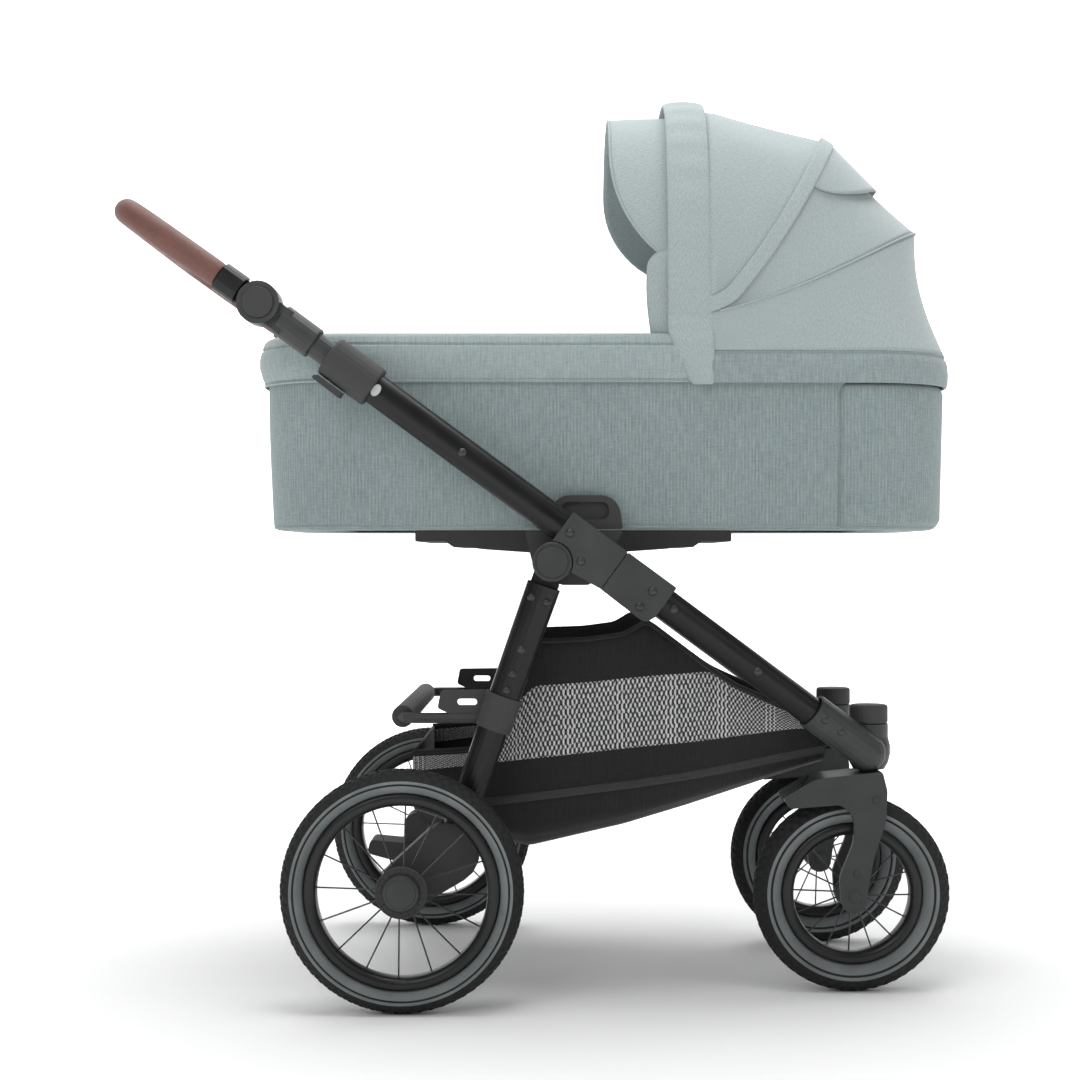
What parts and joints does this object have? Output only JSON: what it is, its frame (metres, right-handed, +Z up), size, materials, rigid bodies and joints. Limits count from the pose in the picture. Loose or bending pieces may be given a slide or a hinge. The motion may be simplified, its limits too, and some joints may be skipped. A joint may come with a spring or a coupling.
{
  "type": "baby stroller",
  "caption": "Folding baby stroller with spoked wheels, swivelling front forks, a telescopic tilting handle, an under basket and a lift-off carrycot with a folding hood.",
  "frame": {"origin": "on the floor under the middle of the stroller's overall length and width", "axes": "+X the way it is pushed, +Y its left side, +Z up"},
  "size_m": [1.0372, 0.6018, 1.1348],
  "materials": {
    "frame_tube": "satin black powder coat",
    "black_plastic": "satin black moulded plastic",
    "hinge_plastic": "satin charcoal moulded plastic",
    "handle_leather": "stitched brown imitation leather",
    "tyre_rubber": "grey sidewalls and a black knobbed tread",
    "rim_metal": "satin black",
    "grey_fabric": "heathered grey canvas",
    "lining_fabric": "light grey jersey",
    "basket_fabric": "black canvas with a woven net side"
  },
  "bodies": {
    "front_frame": {"lower_tube_left": "frame_tube", "lower_tube_right": "frame_tube", "lower_bracket_left": "hinge_plastic", "lower_bracket_right": "hinge_plastic", "hinge_housing_left": "black_plastic", "hinge_housing_right": "black_plastic", "head_casting_left": "hinge_plastic", "head_casting_right": "hinge_plastic", "front_brace": "frame_tube", "basket": "basket_fabric"},
    "push_frame": {"upper_bracket_left": "hinge_plastic", "upper_bracket_right": "hinge_plastic", "hinge_cap_left": "hinge_plastic", "hinge_cap_right": "hinge_plastic", "upper_tube_left": "frame_tube", "upper_tube_right": "frame_tube", "clamp_collar_left": "black_plastic", "clamp_collar_right": "black_plastic"},
    "handle_posts": {"handle_post_left": "hinge_plastic", "handle_post_right": "hinge_plastic"},
    "handlebar": {"handlebar_tube": "frame_tube", "handlebar_grip": "handle_leather"},
    "rear_legs": {"rear_leg_left": "frame_tube", "rear_leg_right": "frame_tube", "rear_cross_member": "black_plastic"},
    "rear_axle_unit": {"swing_arm_left": "black_plastic", "swing_arm_right": "black_plastic", "rear_axle": "frame_tube"},
    "brake": {"brake_pedal": "black_plastic"},
    "carrycot": {"carrycot_tub": "grey_fabric", "carrycot_base": "black_plastic", "mattress": "lining_fabric", "apron": "grey_fabric", "hood_rear_bow": "black_plastic", "hood_back_panel": "grey_fabric", "hood_rear_panel": "grey_fabric"},
    "hood_middle": {"hood_middle_bow": "black_plastic", "hood_front_panel": "grey_fabric"},
    "hood_front": {"hood_front_bow": "grey_fabric", "hood_visor": "grey_fabric"},
    "swivel_knob_left": {"swivel_knob_left": "black_plastic"},
    "clamp_lever_left": {"clamp_lever_left": "black_plastic"},
    "knuckle_button_left": {"knuckle_button_left": "black_plastic"},
    "release_handle_left": {"release_handle_left": "black_plastic"},
    "fork_left": {"fork_left": "hinge_plastic"},
    "front_wheel_left": {"front_tyre_left": "tyre_rubber", "front_wheel_left": "rim_metal"},
    "rear_wheel_left": {"rear_tyre_left": "tyre_rubber", "rear_wheel_left": "rim_metal", "hub_cap_left": "black_plastic"},
    "swivel_knob_right": {"swivel_knob_right": "black_plastic"},
    "clamp_lever_right": {"clamp_lever_right": "black_plastic"},
    "knuckle_button_right": {"knuckle_button_right": "black_plastic"},
    "release_handle_right": {"release_handle_right": "black_plastic"},
    "fork_right": {"fork_right": "hinge_plastic"},
    "front_wheel_right": {"front_tyre_right": "tyre_rubber", "front_wheel_right": "rim_metal"},
    "rear_wheel_right": {"rear_tyre_right": "tyre_rubber", "rear_wheel_right": "rim_metal", "hub_cap_right": "black_plastic"}
  },
  "joints": [
    {"name": "fold", "type": "hinge", "parent": "front_frame", "child": "push_frame", "pos_m": [0.0201, 0, 0.53495], "axis": [0, -1, 0], "range_deg": [0, 88]},
    {"name": "rear_legs_fold", "type": "hinge", "parent": "front_frame", "child": "rear_legs", "pos_m": [0.0201, 0, 0.53495], "axis": [0, -1, 0], "range_deg": [0, 50], "deforming": ["basket"]},
    {"name": "handle_extension", "type": "slide", "parent": "push_frame", "child": "handle_posts", "axis": [-0.8056, 0, 0.5924], "range_m": [-0.02, 0.07]},
    {"name": "handle_angle", "type": "hinge", "parent": "handle_posts", "child": "handlebar", "pos_m": [-0.33001, 0, 0.84392], "axis": [0, -1, 0], "range_deg": [-45, 50]},
    {"name": "axle_suspension", "type": "hinge", "parent": "rear_legs", "child": "rear_axle_unit", "pos_m": [-0.1045, 0, 0.1845], "axis": [0, 1, 0], "range_deg": [0, 6], "stiffness_Nm_per_rad": 60, "springref_deg": -5.73},
    {"name": "brake_press", "type": "hinge", "parent": "rear_axle_unit", "child": "brake", "pos_m": [-0.158, 0, 0.145], "axis": [0, -1, 0], "range_deg": [0, 15]},
    {"name": "carrycot_lift", "type": "slide", "parent": "front_frame", "child": "carrycot", "axis": [0, 0, 1], "range_m": [0, 0.25]},
    {"name": "hood_fold", "type": "hinge", "parent": "carrycot", "child": "hood_middle", "pos_m": [0.2195, 0, 0.84155], "axis": [0, 1, 0], "range_deg": [0, 24], "deforming": ["hood_rear_panel"]},
    {"name": "hood_front_fold", "type": "hinge", "parent": "hood_middle", "child": "hood_front", "pos_m": [0.2195, 0, 0.84155], "axis": [0, 1, 0], "range_deg": [0, 21.6], "deforming": ["hood_front_panel"]},
    {"name": "clamp_lever_left", "type": "hinge", "parent": "push_frame", "child": "clamp_lever_left", "pos_m": [-0.23588, 0.25, 0.7356], "axis": [0, -1, 0], "range_deg": [0, 70]},
    {"name": "knuckle_press_left", "type": "slide", "parent": "handle_posts", "child": "knuckle_button_left", "axis": [0, -1, 0], "range_m": [0, 0.003], "stiffness_N_per_m": 600, "springref_m": -0.001},
    {"name": "swivel_lock_left", "type": "hinge", "parent": "front_frame", "child": "swivel_knob_left", "pos_m": [0.415, 0.155, 0.299], "axis": [0, 0, 1], "range_deg": [0, 90]},
    {"name": "swivel_left", "type": "hinge", "parent": "front_frame", "child": "fork_left", "pos_m": [0.415, 0.155, 0.299], "axis": [0, 0, 1], "continuous": true},
    {"name": "front_wheel_spin_left", "type": "hinge", "parent": "fork_left", "child": "front_wheel_left", "pos_m": [0.393, 0.155, 0.1225], "axis": [0, 1, 0], "continuous": true},
    {"name": "rear_wheel_spin_left", "type": "hinge", "parent": "rear_axle_unit", "child": "rear_wheel_left", "pos_m": [-0.158, 0.2754, 0.145], "axis": [0, 1, 0], "continuous": true},
    {"name": "release_press_left", "type": "slide", "parent": "carrycot", "child": "release_handle_left", "axis": [0, 0, 1], "range_m": [0, 0.007], "stiffness_N_per_m": 900, "springref_m": -0.0012},
    {"name": "clamp_lever_right", "type": "hinge", "parent": "push_frame", "child": "clamp_lever_right", "pos_m": [-0.23588, -0.25, 0.7356], "axis": [0, -1, 0], "range_deg": [0, 70]},
    {"name": "knuckle_press_right", "type": "slide", "parent": "handle_posts", "child": "knuckle_button_right", "axis": [0, 1, 0], "range_m": [0, 0.003], "stiffness_N_per_m": 600, "springref_m": -0.001},
    {"name": "swivel_lock_right", "type": "hinge", "parent": "front_frame", "child": "swivel_knob_right", "pos_m": [0.415, -0.155, 0.299], "axis": [0, 0, 1], "range_deg": [0, 90]},
    {"name": "swivel_right", "type": "hinge", "parent": "front_frame", "child": "fork_right", "pos_m": [0.415, -0.155, 0.299], "axis": [0, 0, 1], "continuous": true},
    {"name": "front_wheel_spin_right", "type": "hinge", "parent": "fork_right", "child": "front_wheel_right", "pos_m": [0.393, -0.155, 0.1225], "axis": [0, 1, 0], "continuous": true},
    {"name": "rear_wheel_spin_right", "type": "hinge", "parent": "rear_axle_unit", "child": "rear_wheel_right", "pos_m": [-0.158, -0.2754, 0.145], "axis": [0, 1, 0], "continuous": true},
    {"name": "release_press_right", "type": "slide", "parent": "carrycot", "child": "release_handle_right", "axis": [0, 0, 1], "range_m": [0, 0.007], "stiffness_N_per_m": 900, "springref_m": -0.0012}
  ],
  "couplings": [
    {"joint": "rear_legs_fold", "follows": "fold", "ratio": 0.56817},
    {"joint": "hood_front_fold", "follows": "hood_fold", "ratio": 0.9}
  ]
}
